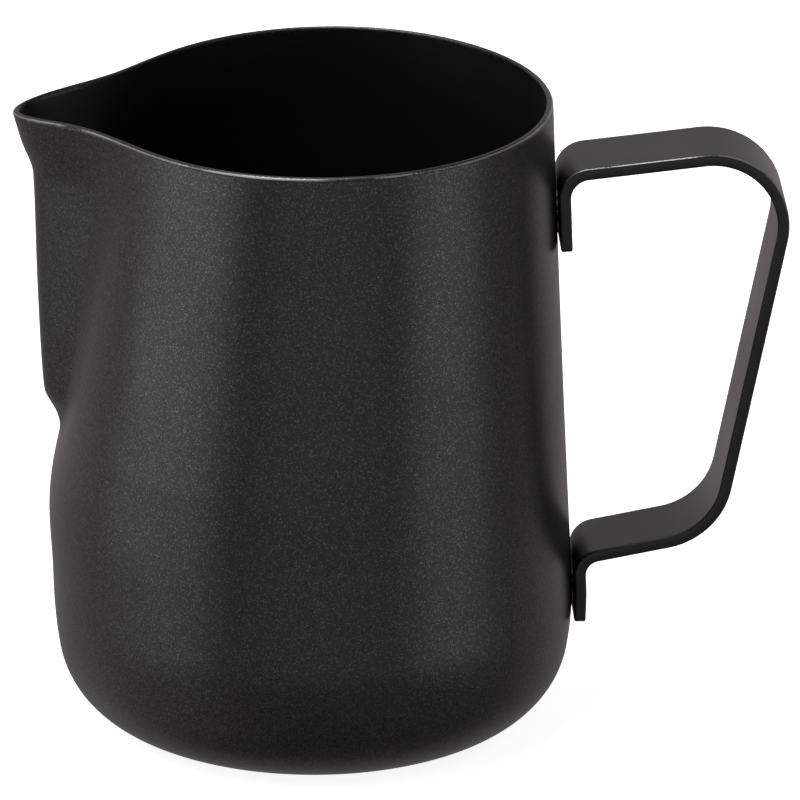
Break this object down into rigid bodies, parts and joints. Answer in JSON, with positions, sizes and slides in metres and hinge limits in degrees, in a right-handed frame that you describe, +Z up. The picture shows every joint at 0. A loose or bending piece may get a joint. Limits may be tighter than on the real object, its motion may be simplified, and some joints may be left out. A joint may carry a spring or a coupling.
{
  "type": "milk frothing pitcher",
  "caption": "Matte black steel pitcher for frothing and pouring milk: tapered pressed cup with a pointed pouring spout and a bent flat strap handle.",
  "frame": {"origin": "on the cup's axis, in the plane of the flat base that it stands on", "axes": "+Z up along the cup's axis, +X towards the handle, -X towards the spout"},
  "size_m": [0.1326, 0.09, 0.1112],
  "materials": {
    "cup_coat": "matte black powder coat with a fine metallic grain",
    "strap_coat": "smooth matte black coat",
    "weld_metal": "bare steel, fused"
  },
  "bodies": {
    "root": {"pitcher_body": "cup_coat", "handle_strap": "strap_coat", "spot_weld_upper_top": "weld_metal", "spot_weld_upper_bottom": "weld_metal", "spot_weld_lower_top": "weld_metal", "spot_weld_lower_bottom": "weld_metal"}
  },
  "joints": []
}
